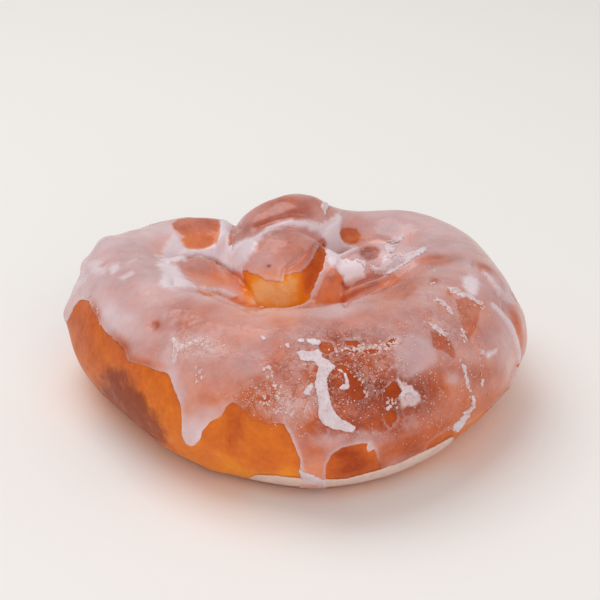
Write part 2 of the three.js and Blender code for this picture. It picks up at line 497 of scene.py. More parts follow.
BARE_PATCHES = (
    ((241, 270), (245, 271), (257, 275), (270, 281), (284, 282), (285, 276), (292, 273), (300, 272),
        (306, 268), (313, 258), (318, 248), (323, 243), (326, 254), (322, 268), (314, 284), (310, 300),
        (300, 306), (264, 310), (257, 307), (251, 296), (245, 282)),
    ((319, 345), (323, 342.5), (329, 343), (334, 347), (335.5, 350), (331, 354), (325, 354.5), (321, 352)),
    ((343, 340), (349, 341), (358, 341), (361, 346), (356, 348), (347, 346)),
    ((361, 351), (370, 349), (380, 349), (379, 353), (372, 354), (366, 355)),
    ((386, 344), (390, 340), (393, 338), (398, 339), (395, 343), (391, 346), (387, 348)),
    ((336, 366), (342, 364), (348, 366), (350, 371), (356, 377), (361, 381), (364, 386), (366, 393),
        (363, 399), (358, 401), (351, 399), (348, 394), (347, 388), (348, 381), (345, 374), (341, 370)),
    ((385, 389), (389, 385), (394, 381), (398, 383), (402, 387), (406, 388), (402, 393), (398, 398),
        (394, 400), (393, 405), (390, 404), (388, 400), (384, 394)),
    ((387, 414), (391, 410), (397, 412), (396, 419), (391, 427), (385, 424), (384, 418)),
)


def inside(pixels, outline):
    """How far points lie inside a closed outline on the photograph, in mm; below 0 outside."""
    corners = np.array(outline, float)
    near = np.all((pixels > corners.min(axis=0) - FAR) & (pixels < corners.max(axis=0) + FAR), axis=1)
    across, down = pixels[near].T
    within = np.zeros(len(across), bool)
    for start, end in zip(corners, np.roll(corners, -1, axis=0)):
        if start[1] != end[1]:
            level = (start[1] > down) != (end[1] > down)
            cut = start[0] + (down - start[1]) * (end[0] - start[0]) / (end[1] - start[1])
            within ^= level & (across < cut)
    result = np.full(len(pixels), -FAR)
    result[near] = np.where(within, 1, -1) * beside(pixels[near], (*outline, outline[0]))
    return result / PIXELS_PER_MM


# How milky the seen glaze is, from 0, clear, to 1, white, and on the belly's lip also a painted sheen:
# place, size and lean as above, and level
MILK_AND_SHEEN_SPOTS = (
    (120, 270, 60, 50, -20, 0.55), (92, 262, 14, 34, 26, 0.72), (198, 322, 28, 15, 8, 0.05),
    (116, 240, 16, 8, -30, 0.72), (112, 318, 14, 26, -42, 0.78), (145, 345, 24, 10, 20, 0.38),
    (250, 348, 60, 30, 8, 0.33), (200, 348, 26, 9, -8, 0.62), (206, 385, 26, 18, 0.3),
    (206, 399, 14, 5, 5, 0.2), (172, 372, 6, 22, -8, 0.62), (178, 400, 7, 20, -12, 0.56),
    (194, 430, 13, 18, 0.74), (216, 412, 14, 5, -35, 0.56), (262, 398, 26, 12, 0.06),
    (272, 378, 16, 16, 30, 0.4), (300, 400, 26, 26, 0.26), (292, 404, 9, 12, 0.36),
    (310, 440, 16, 26, 0.04), (356, 438, 34, 7, -2, 0.9), (313, 468, 14, 10, 0.24),
    # The first row here makes the belly's lip milkier: partly its milk, partly a painted sheen.
    (295, 325, 70, 14, 5, 0.36), (350, 324, 50, 14, 0.32), (330, 348, 50, 12, 0.22),
    (355, 385, 40, 46, 0.04), (339, 376, 7, 8, 0.04), (374, 370, 14, 14, 0.1), (385, 420, 50, 20, -0.06),
    (390, 365, 26, 16, 0.2), (415, 335, 36, 34, 0.42), (440, 390, 34, 24, -10, 0.02),
    (420, 440, 44, 10, -22, -0.06), (465, 410, 24, 12, -40, 0.06), (492, 398, 24, 9, -30, -0.14),
    (490, 340, 26, 46, 0.36), (526, 330, 8, 44, 0.34), (514, 320, 4, 14, -20, 0.02),
    (518, 344, 3, 16, -6, 0.02), (397, 290, 24, 9, -20, 0.14), (442, 258, 16, 4, -6, 0.08),
    (485, 268, 6, 2.5, 25, 0.0), (449, 293, 3, 3, 0.0), (465, 291, 3, 3, 0.0), (434, 283, 4, 3, 0.0),
    (452, 379, 7, 6, 0.5), (478, 282, 24, 12, 42, 0.5), (440, 225, 54, 22, 18, 0.66),
    (400, 210, 60, 8, 4, 0.62), (486, 274, 14, 3, 45, 0.16), (286, 204, 40, 14, 0.14),
    (300, 192, 40, 5, 8, 0.44), (270, 222, 28, 5, -18, 0.12), (282, 244, 32, 16, 0.24),
    (210, 272, 34, 12, 20, 0.18), (200, 265, 16, 5, 12, 0.3), (240, 300, 24, 6, 10, 0.34),
    (369, 254, 9, 6, -0.05), (348, 252, 12, 5, -25, 0.5), (269, 266, 1.6, 1.2, -0.2),
    (354, 292, 24, 6, -20, 0.18), (392, 248, 30, 14, -10, 0.5), (282, 354, 10, 22, 0.05),
    (238, 342, 20, 9, 0.16), (200, 292, 46, 7, 3, 0.5), (146, 304, 20, 14, 0.46), (150, 280, 12, 10, 0.6),
    (122, 324, 14, 9, 25, 0.76), (136, 330, 12, 7, 20, 0.6), (168, 328, 8, 8, 0.36),
    (156, 326, 5, 4, 0.0), (168, 230, 10, 8, 0.76), (150, 231, 16, 9, -10, 0.74), (388, 228, 16, 9, 0.52),
    # The first row here is the belly's lip again: partly milk, partly painted sheen.
    (320, 311, 28, 7, 0.56), (304, 404, 14, 11, 0.44), (482, 376, 18, 11, 0.14),
    (458, 422, 12, 7, -30, 0.04), (442, 261, 14, 5, -6, 0.08), (394, 252, 13, 11, 0.66),
    (260, 410, 22, 8, 5, 0.26), (284, 408, 8, 10, 0.45), (256, 262, 13, 10, 0.46), (506, 342, 7, 20, 0.6),
    (410, 422, 10, 8, 0.2), (390, 405, 6, 6, -0.1), (426, 360, 10, 8, 0.28), (298, 452, 5, 8, 0.1),
    (216, 295, 12, 5, 5, 0.56), (442, 246, 14, 8, 0.45), (358, 437, 24, 7, -2, 0.4),
    (370, 446, 4, 6, 0.6), (241, 284, 5, 14, -18, 0.16), (188, 408, 8, 9, 0.3), (232, 294, 8, 6, 20, 0.5),
    (432, 292, 14, 7, 0.56),
)
# Where the glaze lies thick in grooves, or thin or worn, and a few white streaks that are painted
# highlights:
# how milky, how much thicker and how soft its edge, both in mm, and where
POOLS_AND_HIGHLIGHTS = (
    (0.9, 0.3, 0.8, ((230, 246), (245, 241), (256, 236), (268, 228), (280, 222.5), (292, 220.5),
        (306, 221), (318, 224), (326, 222), (332, 217), (338, 214), (340, 218), (340, 229), (338, 238),
        (344, 244), (352, 246), (344, 255), (334, 264), (328, 260), (326, 254), (324, 242), (316, 233),
        (306, 228), (292, 226), (280, 228), (266, 235), (257, 243), (256, 252), (249, 262), (242, 270),
        (231, 270))),
    (0.4, 0.1, 0.6, ((327, 257), (334, 262), (326, 275), (319, 289), (314, 299), (310.5, 297), (316, 284),
        (321, 270))),
    (1.3, 0.35, 0.5, ((178, 256), (186, 251), (204, 250), (217, 245), (220, 232), (220, 222), (230, 218),
        (231, 232), (229, 247), (240, 246), (250, 240), (257, 244), (247, 262), (241, 271), (233, 272),
        (226, 267), (219, 262), (210, 258.5), (198, 257), (186, 257))),
    (1.15, 0.3, 0.6, ((322, 236), (328, 226), (337, 222), (338, 234), (343, 244), (351, 246.5),
        (357, 249), (350, 253), (342, 258), (332, 268), (328, 262), (327, 248))),
    (0.11, -0.1, 0.25, ((172, 224), (180, 220), (194, 217), (210, 217), (219, 221), (220, 232),
        (217, 242), (208, 248), (196, 249), (186, 249), (177, 244), (184, 237), (174, 230))),
    (0.14, -0.1, 0.25, ((284, 275), (286, 267), (294, 264), (302, 255), (308, 250), (314, 243),
        (322, 238), (326, 246), (318, 252), (313, 262), (306, 272), (300, 276), (292, 277), (285, 281))),
    (1.15, 0.35, 0.3, ((336, 262), (339, 258), (343, 261), (347, 259), (352, 262), (356, 259), (361, 261),
        (365, 262), (367, 268), (363, 272), (366, 277), (361, 279), (356, 281), (353, 285), (347, 285.5),
        (344, 282), (345, 277), (340, 275), (338, 270), (335, 267))),
    (0.55, 0.1, 0.8, ((482, 270), (496, 278), (506, 290), (517, 300), (512, 306), (508, 306), (501, 298),
        (492, 287), (484, 277))),
    (0.1, -0.1, 0.3, ((314, 304), (320, 287), (326, 276), (332, 268), (342, 276), (346, 288), (345, 304))),
    (0.07, -0.15, 0.15, ((338, 234), (341, 229), (348, 227.5), (356, 229.5), (361, 234), (361, 239),
        (356, 243), (349, 244), (341, 241))),
    (0.04, -0.15, 0.4, ((230, 230), (232, 233), (233, 246), (230, 249), (229, 238))),
    (1.0, 0.25, 0.8, ((162, 252), (168, 242), (174, 233), (179, 239), (183, 246), (188, 251), (186, 261),
        (172, 262), (164, 259))),
    (1.0, 0.25, 1.1, ((157, 264), (168, 263), (178, 268), (181, 275), (188, 281), (196, 286), (196, 289),
        (181, 288), (171, 291), (164, 289), (160, 285), (162, 275))),
    # A painted highlight: a bright streak on the left lobe, made as white glaze.
    (1.0, 0.25, 0.5, ((154, 256), (164, 257), (172, 261), (170, 264), (160, 261))),
    (0.95, 0.2, 0.4, ((192, 286), (208, 288), (224, 290), (238, 296), (234, 298), (220, 293), (204, 291))),
    (0.0, -0.15, 0.35, ((196, 291), (206, 293), (215, 294), (214, 297), (204, 296))),
    (0.04, -0.15, 0.35, ((229, 299), (236, 297), (247, 301), (258, 306), (263, 311), (248, 310),
        (236, 306))),
    # Painted highlights: the white streaks on the left flap, with a duller gap between them, made as white
    # glaze.
    (0.9, 0.12, 1.0, ((86, 262), (98, 261), (107, 266), (105, 275), (95, 275), (88, 270))),
    (0.5, -0.05, 0.5, ((100, 267), (107, 260), (110, 261), (104, 268))),
    (0.9, 0.15, 0.7, ((108, 269), (113, 264), (119, 264), (119, 269), (113, 275))),
    (0.85, 0.15, 0.5, ((119, 279), (133, 271), (135, 274), (124, 281))),
    (0.75, 0.1, 0.5, ((125, 264), (136, 259), (137, 261), (128, 266))),
    (0.5, 0.1, 0.6, ((170, 340), (180, 343), (198, 340), (210, 342), (200, 348), (184, 352), (177, 361),
        (171, 360), (172, 350))),
    (1.2, 0.15, 0.25, ((172.5, 337), (177, 341), (180, 345), (186, 344), (193, 341), (204, 339.5),
        (195, 344.5), (187, 348), (181, 350), (177.5, 355), (176.5, 363), (173.5, 361), (173.5, 353),
        (174.5, 347))),
    (0.15, -0.18, 0.15, ((456, 301), (461, 299), (471, 298), (476, 303), (482, 306), (479, 314),
        (476, 327), (471, 336), (467, 342), (463, 334), (459, 317))),
    (0.1, -0.16, 0.25, ((430, 331), (438, 332), (446, 336), (450, 341), (454, 350), (455, 357),
        (452, 360), (448, 354), (440, 350), (433, 348))),
    (1.05, 0.2, 1.1, ((463, 279), (470, 276), (477, 280), (479, 288), (476, 294), (471, 297), (464, 289))),
    (0.9, 0.15, 0.6, ((484, 355), (488, 351), (496, 349), (495, 354), (487, 358))),
    (0.8, 0.15, 0.5, ((398, 380), (401, 386), (406, 386), (411, 386), (414, 390), (419, 395), (420, 400),
        (413, 406), (407, 405), (401, 408), (399, 399), (404, 392))),
    (0.06, -0.15, 0.5, ((360, 250), (366, 246), (376, 247), (380, 252), (377, 259), (368, 261),
        (361, 257))),
    (0.5, 0.1, 0.8, ((393, 341), (412, 336), (428, 340), (435, 352), (438, 361), (428, 368), (410, 378),
        (397, 376), (394, 360))),
    (0.95, 0.1, 0.5, ((383, 258), (392, 254), (404, 256), (415, 253), (407, 262), (398, 268), (388, 272),
        (379, 270))),
    (0.12, -0.08, 0.8, ((376, 284), (392, 279), (412, 281), (416, 290), (404, 300), (384, 300))),
    (0.0, -0.1, 0.8, ((484, 408), (494, 398), (508, 388), (512, 392), (500, 406), (486, 414))),
    (0.2, -0.1, 0.8, ((236, 384), (246, 376), (262, 374), (274, 382), (280, 408), (262, 404), (244, 400))),
    (0.55, 0.2, 0.6, ((281, 420), (285, 418), (291, 430), (297, 446), (302, 458), (305, 470), (301, 470),
        (296, 456), (291, 444), (285, 430))),
    (0.85, 0.5, 0.4, ((490, 302), (494, 305), (502, 313), (509, 321), (514, 331), (518, 342),
        (519.5, 352), (519, 366), (515, 380), (509, 392), (506, 392), (512, 378), (515.5, 365),
        (515.5, 352), (513, 343), (509, 332), (504, 323), (498, 315), (489, 306))),
    (0.7, 0.6, 0.4, ((482, 271), (487, 274), (494, 281), (501, 291), (506, 298), (511, 305), (508, 306),
        (501, 300), (496, 292), (489, 282), (482, 275))),
)
# How thick the glaze is beyond its least thickness, on the seen side: the same, in mm
THICK_SPOTS = (
    (190, 434, 12, 16, 0.75), (176, 396, 6, 30, -12, 0.35), (212, 414, 18, 5, -35, 0.3),
    (112, 326, 12, 26, -42, 0.3), (313, 470, 14, 12, 0.5), (293, 438, 4, 26, -12, 0.25),
    (340, 440, 26, 6, -16, 0.3), (330, 240, 16, 16, 0.4), (236, 256, 14, 12, 0.4),
)
# Where the glaze is cracked into plates and flakes off: the same, and how much
FLAKY_SPOTS = (
    (352, 385, 62, 46, 1), (446, 326, 30, 40, -30, 0.35), (424, 356, 22, 20, -0.5),
    (262, 400, 26, 14, 0.8), (196, 350, 26, 14, 0.5),
)
# Where the glaze thins out to nothing at its edge instead of ending in a pale rim
FADING = (
    (98, 312, 12, 16, 50, 1), (124, 342, 16, 14, 40, 1), (150, 360, 22, 8, 5, 1), (256, 416, 28, 12, 1),
    (400, 460, 30, 8, -20, 1), (496, 402, 22, 10, -30, 1), (246, 290, 6, 13, -22, 1),
)
FRAYED = (256, 414, 22, 12)  # where its outline is torn most: photo place and size
GLAZE_LEAST = 0.24  # mm
PLAIN_MILK, SEEN_MILK = 0.42, 0.4  # of glaze that no row describes: behind, and on the seen side
# Tongues of glaze down the flanks behind: degrees round from the right, half width in degrees, length in mm
TONGUES = (
    (20, 5, 8), (41, 4, 15), (60, 7, 7), (84, 4, 16), (104, 6, 8), (124, 4, 17), (146, 6, 9),
    (163, 4, 14), (184, 5, 4),
)
GLAZE_REACH = 23  # mm above the ground, where the glaze ends between the tongues
LEFT_END, LEFT_WIDTH, LEFT_BARE = 185, 16, 12  # degrees round, half width, and mm that it ends higher
INNER_BARE = 12  # mm that it ends higher on the inner walls
EDGE_SINK = 0.3  # mm that the edge of the glaze goes down into the crust
GLAZE_EDGE = (1, 0.4)  # mm from its edge to its full thickness, and the share of it at the edge
LOWEST_SKIN = 0.02 * MM
GLAZE_SHINE = 0.19  # roughness
GLAZE_SPECULAR = 0.5
GLAZE_BUMP = (0.5, 0.24)  # strength, and height in mm
MILK_WHITE, MILK_SALMON = (231, 213, 219), (238, 196, 184)
UNDER_GLAZE = 0.09  # how much darker the crust is where glaze wets it


def keep_part(mesh, depth, name):
    """The part of a surface where depth is above 0, cut along that line, as a new object."""
    piece = placed(name, mesh.copy())
    put_field(piece.data, "depth", depth)
    kept = piece.vertex_groups.new(name="kept")
    weights = np.round(np.clip(0.5 + depth / 4, 0, 1), 4)
    for level in np.unique(weights):
        kept.add(np.flatnonzero(weights == level).tolist(), float(level), "REPLACE")
    cut = piece.modifiers.new("cut", "MASK")
    cut.vertex_group = "kept"
    cut.threshold = 0.5
    cut.use_smooth = True
    keep_modified(piece)
    return piece


def raise_skin(piece, thickness, sink, rise=None):
    """Lifts a cut-out skin off the dough, and turns its edge down into the dough; all in mm.
    A rise turns the way it is lifted from straight outwards to that much upwards."""
    ways = normals_of(piece.data)
    if rise is not None:
        ways[:, 2] = rise
        ways /= np.linalg.norm(ways, axis=1)[:, None]
    points = points_of(piece.data) + ways * (thickness * MM)[:, None]
    points[:, 2] = np.maximum(points[:, 2], LOWEST_SKIN)
    put_points(piece.data, points)
    skin = bmesh.new()
    skin.from_mesh(piece.data)
    depths = (thickness + sink) * MM
    drops = {v: Vector(ways[v.index]) * depths[v.index] for v in skin.verts if v.is_boundary}
    rim = [e for e in skin.edges if e.is_boundary]
    below = bmesh.ops.extrude_edge_only(skin, edges=rim)["geom"]
    for corner in [g for g in below if isinstance(g, bmesh.types.BMVert)]:
        above = [e.other_vert(corner) for e in corner.link_edges]
        above = [v for v in above if v in drops]
        if above:
            corner.co -= drops[above[0]]
            corner.co.z = max(corner.co.z, 0)
    skin.to_mesh(piece.data)
    skin.free()
    piece.data.shade_smooth()


def rounded(piece, width, least):
    """The share of its thickness that a skin has from its edge inwards: least, rising to 1 over width mm."""
    inwards = np.clip(field_of(piece.data, "depth") / width, 0, 1)
    return least + (1 - least) * np.sqrt(1 - (1 - inwards) ** 2)


skin_mesh = dough.data.copy()
skin_points = points_of(skin_mesh)
skin_pixels = on_photo(skin_points)
skin_seen = field_of(skin_mesh, "seen")
skin_inner = field_of(skin_mesh, "inner")
skin_height = skin_points[:, 2] / MM

torn = 0.22 * rumple(skin_points, 2.4, 11) + 0.16 * rumple(skin_points, 0.9, 12)
frayed = torn * (1 + 5 * skin_seen * spot(skin_pixels, *FRAYED))
glazed = inside(skin_pixels, GLAZE_OUTLINE) + frayed
for outline in BARE_PATCHES:
    glazed = np.minimum(glazed, -inside(skin_pixels, outline) + 2 * torn)
turn = np.degrees(np.arctan2(skin_points[:, 1], skin_points[:, 0])) % 360
reach = GLAZE_REACH + LEFT_BARE * np.exp(-(((turn + 180) % 360 - LEFT_END) / LEFT_WIDTH) ** 2)
reach += 2.5 * rumple(skin_points, 9, 13) + INNER_BARE * skin_inner
for middle, width, length in TONGUES:
    reach -= length * np.exp(-(((turn - middle) / width) ** 4)) * (1 - skin_inner)
behind = skin_height - reach + torn
glazed = skin_seen * glazed + (1 - skin_seen) * behind

thick = GLAZE_LEAST + 0.1 * ramp(rumple(skin_points, 8, 16), -0.2, 0.6)
milk_and_sheen = PLAIN_MILK + skin_seen * (painted(skin_pixels, SEEN_MILK, MILK_AND_SHEEN_SPOTS) - PLAIN_MILK)
milk_and_sheen += 0.07 * rumple(skin_points, 16, 14) + 0.06 * rumple(skin_points, 6, 15)
# Each row sets the glaze's milk and thickness; the rows for the flap's streaks and the left lobe's streak
# paint highlights.
for white, deeper, soft, outline in POOLS_AND_HIGHLIGHTS:
    pool_and_highlight = ramp(inside(skin_pixels, outline) + (0.5 + 2 * soft) * torn, -soft, soft) * skin_seen
    milk_and_sheen += pool_and_highlight * (white - milk_and_sheen)
    thick += deeper * pool_and_highlight
thick += skin_seen * spots(skin_pixels, THICK_SPOTS)
milk_and_sheen += (1 - skin_seen) * (0.1 + 0.18 * ramp(1.8 - behind, 0, 1.8))
thick += (1 - skin_seen) * 0.5 * ramp(6 - behind, 0, 6) * ramp(20 - skin_height, -4, 4)
flaky = skin_seen * spots(skin_pixels, FLAKY_SPOTS)
flaky += (1 - skin_seen) * 0.6 * ramp(rumple(skin_points, 16, 17), 0.1, 0.5)
plates = rumple(skin_points, 2.6, 18) + 0.5 * rumple(skin_points, 1.1, 19)
thick += 0.14 * np.clip(flaky, 0, 1) * ramp(plates, -0.06, 0.1)
fading = skin_seen * np.clip(spots(skin_pixels, FADING), 0, 1)
milk_and_sheen += 0.22 * (1 - fading) * (1 - ramp(glazed, 0.1, 1.6 - np.clip(flaky, 0, 1)))
milk_and_sheen -= fading * (milk_and_sheen + 0.1) * (1 - ramp(glazed, 0, 3.2))
put_field(skin_mesh, "milk_and_sheen", milk_and_sheen)
put_field(skin_mesh, "thick", thick)
put_field(skin_mesh, "flaky", np.clip(flaky, 0, 1))


def cracks(tree, size, width):
    """1 along the cracks between broken plates of that size, in mm, and 0 elsewhere."""
    place = node(tree, "TexCoord").outputs["Object"]
    bend = node(tree, "TexNoise", _0=place, _2=1 / (0.6 * size * MM), _3=3.0)
    reach = (0.7 * size * MM,) * 3
    settings = {"operation": "MULTIPLY_ADD"}
    bent = node(tree, "VectorMath", settings, _0=bend.outputs["Color"], _1=reach, _2=place)
    settings = {"feature": "DISTANCE_TO_EDGE"}
    plates = node(tree, "TexVoronoi", settings, _0=bent.outputs[0], _2=1 / (size * MM))
    return step(tree, plates.outputs[0], 0.0, width, 1.0, 0.0)


glaze = keep_part(skin_mesh, glazed, "glaze")
raise_skin(glaze, field_of(glaze.data, "thick") * rounded(glaze, *GLAZE_EDGE), EDGE_SINK)

# Its milk hides the crust's colour more or less, in clouds and, where it flakes, in plates and specks; where
# the milk was raised for painted highlights and sheen, the paler colour stands in for light
milky, tree, shader = new_material("milky_glaze")
flaked = field(tree, "flaky")


def where_flaked(value, strength, rest=0.0):
    share = calculate(tree, "MULTIPLY", flaked, strength)
    return calculate(tree, "MULTIPLY", value, total(tree, share, rest))


fine = total(tree, swing(tree, 1.3, 0.11, 3, 0.6), swing(tree, 0.45, 0.08))
films = step(tree, swing(tree, 3.6, 1.0, 5, 1.2), -0.03, 0.07, -0.5, 0.5)
specks = step(tree, swing(tree, 0.42, 1.0, 1), 0.62, 0.9)
broken = cracks(tree, 4.2, 0.035)
clouds = total(tree, field(tree, "milk_and_sheen"), swing(tree, 5, 0.08, 2), where_flaked(fine, 0.45, 0.1))
plates = total(tree, where_flaked(films, 0.3), where_flaked(specks, 0.5), where_flaked(broken, -0.35))
cover = node(tree, "MapRange", _0=total(tree, clouds, plates)).outputs[0]
thin_film = step(tree, field(tree, "milk_and_sheen"), 0.1, 0.5, 0.45, 0.0)
salmon = total(tree, calculate(tree, "MULTIPLY", flaked, 0.7), thin_film)
pale = tinted(tree, salmon, colour(*MILK_WHITE), colour(*MILK_SALMON))
hue = tinted(tree, cover, crust_colour(tree, UNDER_GLAZE), pale)
chalk = calculate(tree, "MULTIPLY", field(tree, "milk_and_sheen"), 0.1)
worn = where_flaked(swing(tree, 0.9, 0.12), 0.8, 0.15)
roughness = total(tree, GLAZE_SHINE, swing(tree, 4, 0.04), worn, chalk)
ripples = total(tree, swing(tree, 3, 0.5), where_flaked(swing(tree, 0.9, 0.5), 0.7, 0.12))
flakes = total(tree, where_flaked(swing(tree, 0.35, 0.4), 0.3), where_flaked(films, 1.2))
lumps = total(tree, ripples, flakes, where_flaked(broken, -1.2))
finish(tree, shader, hue, roughness, lumps, *GLAZE_BUMP)
shader.inputs["Specular IOR Level"].default_value = GLAZE_SPECULAR
cover_with(glaze, milky)
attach(glaze, "root")

# Where the glaze dried thick it is opaque white. On the belly it has lifted and broken into ridges and
# scales with torn edges, and it has run together over the right arm's end. Each is cut out of the
# same surface, in a finer mesh, and stands on top of the milky glaze.
SCALES = (
    (0.55, ((297, 354), (301, 352), (311, 352.5), (318, 350.5), (322, 354), (322, 358.5), (329, 361.5),
        (335.5, 368), (333, 370), (329.5, 373), (327, 378), (327.5, 386), (328.5, 394), (330.5, 403),
        (335, 411.5), (339, 417), (344, 420), (350, 423.5), (355, 426.5), (354, 430), (349, 431.5),
        (343, 430.5), (337, 429), (330, 427), (324, 424), (320, 420), (318.5, 413), (318.5, 405.5),
        (318, 397), (315.6, 389), (315, 383), (316.6, 374), (318, 366), (314, 361.5), (307, 362.5),
        (301, 360.5))),
    (0.35, ((296, 341.5), (300, 339), (303.6, 339.5), (303.4, 342.5), (301, 343.5))),
    (0.35, ((307, 340), (316, 340), (321.5, 343), (318.5, 346), (312, 345), (307.4, 342.6))),
    (0.35, ((285, 345), (289, 344.5), (291, 349), (287, 349))),
    (0.35, ((261, 336), (265, 337), (267, 341), (262, 341))),
    (0.6, ((304, 392.5), (308, 385), (312, 384), (313, 387.5), (309.5, 394.5), (306.5, 396))),
    (0.45, ((395.5, 379), (398, 380), (401.5, 385), (406, 386), (411, 385.5), (413, 390), (417, 394),
        (413, 396), (408, 392), (404, 394), (400, 399), (399, 396), (403, 391), (400, 387), (397, 383))),
    (0.35, ((370, 265), (376, 267), (381, 269), (386, 267.5), (389, 262), (393, 258), (396, 255.5),
        (400, 257.5), (404, 256), (410, 253), (418, 250.5), (425, 248.5), (427.5, 251), (420, 255),
        (414, 259), (408, 262.5), (403, 267), (396, 271), (390, 275), (384, 275.5), (376, 273.5),
        (371, 269.5))),
    (0.3, ((384, 247), (388, 241), (393, 238), (399, 237), (404, 233.5), (405, 237), (400, 243),
        (396, 248), (394, 253), (397, 257), (392, 260), (388, 257), (386, 252))),
    (0.3, ((357, 258), (362, 261), (368, 266), (366, 270), (362, 266), (357, 262))),
    (0.35, ((428, 324), (436, 326), (444, 333), (446, 337), (439, 334), (431, 328))),
    (0.35, ((432, 299), (441, 299.5), (449, 307), (453, 315), (450, 315), (445, 308), (439, 303))),
    (0.35, ((446, 288), (456, 289), (463, 294), (473, 298), (481, 304), (483, 308), (478, 305),
        (470, 299), (460, 297), (452, 293))),
    (0.35, ((460, 328), (462.5, 332), (466, 339), (467.5, 343), (464.5, 339), (461, 333))),
    (0.35, ((461.5, 364), (464, 366), (465.8, 376), (467.8, 385), (469.8, 391), (467.8, 391.5),
        (465.4, 385), (463.2, 376))),
    (0.35, ((470.5, 395), (473, 396), (474.6, 402), (473.6, 407), (468, 412), (463, 414), (462, 412.5),
        (468, 408.5), (471.4, 404))),
    (0.3, ((480, 379), (482, 379), (482, 386), (480, 386))),
    (0.3, ((480.5, 350), (483, 350), (483, 354), (480.5, 354))),
    (0.55, ((453, 425), (459, 418), (464, 414), (468, 414.5), (463, 422), (457, 431), (452, 429))),
    (0.45, ((300, 469), (308, 471), (318, 475), (326, 480), (325, 484), (312, 482), (302, 478))),
    (0.3, ((340, 385.5), (344.5, 384.5), (345, 380), (343, 374), (338, 371), (341, 370), (346, 374),
        (348.5, 381), (348, 389), (344, 391), (339, 389))),
    (0.3, ((385.5, 408), (389, 404.5), (391, 406), (389, 410), (386, 411))),
    (0.5, ((319.5, 207), (321, 204), (325.5, 203.5), (328, 207), (326, 211), (324.5, 215),
        (322.5, 211.5))),
)
SCALE_SINK = 0.2  # mm
SCALE_MARGIN = 1.6  # mm of surface kept round the outlines, for their torn edges
SCALE_EDGE = (0.5, 0.6)  # as for the glaze
CHALK_LIGHT, CHALK_SHADE = (236, 222, 227), (212, 186, 190)
CHALK_SHINE = 0.5  # roughness
CHALK_BUMP = (0.6, 0.2)

white_depth = np.max([inside(skin_pixels, outline) for _, outline in SCALES], axis=0)
close = bmesh.new()
close.from_mesh(skin_mesh)
close.verts.ensure_lookup_table()
away = np.flatnonzero((white_depth < -SCALE_MARGIN) | (skin_seen < 0.9))
bmesh.ops.delete(close, geom=[close.verts[i] for i in away], context="VERTS")
bmesh.ops.subdivide_edges(close, edges=close.edges, cuts=1, use_grid_fill=True)
sugar_mesh = bpy.data.meshes.new("sugar")
close.to_mesh(sugar_mesh)
close.free()
sugar_points = points_of(sugar_mesh)
sugar_pixels = on_photo(sugar_points)
torn = 0.26 * rumple(sugar_points, 1.7, 21) + 0.34 * rumple(sugar_points, 0.8, 22)
white_depth = np.full(len(sugar_points), -FAR)
lift = np.zeros(len(sugar_points))
for thickness, outline in SCALES:
    within = inside(sugar_pixels, outline)
    lift = np.where(within > white_depth, thickness, lift)
    white_depth = np.maximum(white_depth, within)
lift *= 0.8 + 0.5 * rumple(sugar_points, 2.2, 23) + 0.25 * rumple(sugar_points, 0.8, 26)
put_field(sugar_mesh, "lift", lift)
scales = keep_part(sugar_mesh, white_depth + torn, "sugar_scales")
lift = field_of(scales.data, "lift") * rounded(scales, *SCALE_EDGE)
raise_skin(scales, field_of(scales.data, "thick") + lift, SCALE_SINK)


def sugar_material(name, light, shade):
    """Opaque dried sugar: chalky, finely crazed and a little uneven in colour."""
    material, tree, shader = new_material(name)
    clouds = total(tree, swing(tree, 3, 0.35, 3), swing(tree, 0.8, 0.25), 0.5)
    hue = tinted(tree, clouds, colour(*light), colour(*shade))
    crazing = total(tree, swing(tree, 1.5, 0.5, 3), swing(tree, 0.4, 0.4))
    roughness = total(tree, CHALK_SHINE, swing(tree, 1.2, 0.1))
    finish(tree, shader, hue, roughness, crazing, *CHALK_BUMP)
    return material


cover_with(scales, sugar_material("chalky_sugar", CHALK_LIGHT, CHALK_SHADE))
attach(scales, "root")

# Along the front of the belly the tongues of glaze ran together on the tray and set there as a
# creamy foot, which was lifted off the tray with the pretzel.
FOOT = (
    (250, 477), (262, 474.5), (280, 476), (300, 478), (318, 479), (330, 479), (345, 478), (360, 475),
    (375, 471), (392, 465), (408, 458), (425, 451), (440, 442), (447, 437), (452, 438), (446, 452),
    (430, 466), (400, 482), (370, 494), (340, 502), (296, 500), (262, 492), (250, 484),
)
FOOT_LIMIT = 12.5  # mm above the ground
FOOT_THICKNESS = 1.2  # mm
FOOT_SINK = 0.6  # mm
FOOT_EDGE = (1.2, 0.3)
FOOT_RISE = 0.4  # its surface leans this much upwards, so that it doesn't stick out too far
CREAM_LIGHT, CREAM_SHADE = (238, 214, 202), (218, 184, 168)

uneven = 0.3 * rumple(skin_points, 4, 24) + 0.15 * rumple(skin_points, 1.2, 25)
footing = np.minimum(inside(skin_pixels, FOOT) + uneven, FOOT_LIMIT - skin_height)
foot = keep_part(skin_mesh, footing * skin_seen - (1 - skin_seen), "glaze_foot")
raise_skin(foot, FOOT_THICKNESS * rounded(foot, *FOOT_EDGE), FOOT_SINK, FOOT_RISE)
cover_with(foot, sugar_material("creamy_glaze", CREAM_LIGHT, CREAM_SHADE))
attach(foot, "root")

# Grains of sugar and crumbs of broken glaze lie on the skin, most of them round the places where it
# flakes. Each grain is a small rough lump, pressed a little way into the surface.
GRAINS_SEEN = (
    (420, 350, 385, 50, 46), (240, 385, 345, 44, 18), (160, 430, 390, 40, 40), (180, 440, 310, 50, 40),
    (90, 478, 370, 26, 40), (110, 262, 396, 26, 14), (240, 194, 346, 24, 8), (50, 289, 408, 9, 9),
    (130, 300, 400, 26, 40), (90, 300, 330, 110, 20), (130, 400, 256, 44, 16), (30, 180, 290, 60, 40),
    (50, 450, 430, 30, 20),
)  # how many, photo x, y, spread across and down
SPREAD = 1.6  # standard deviations in it
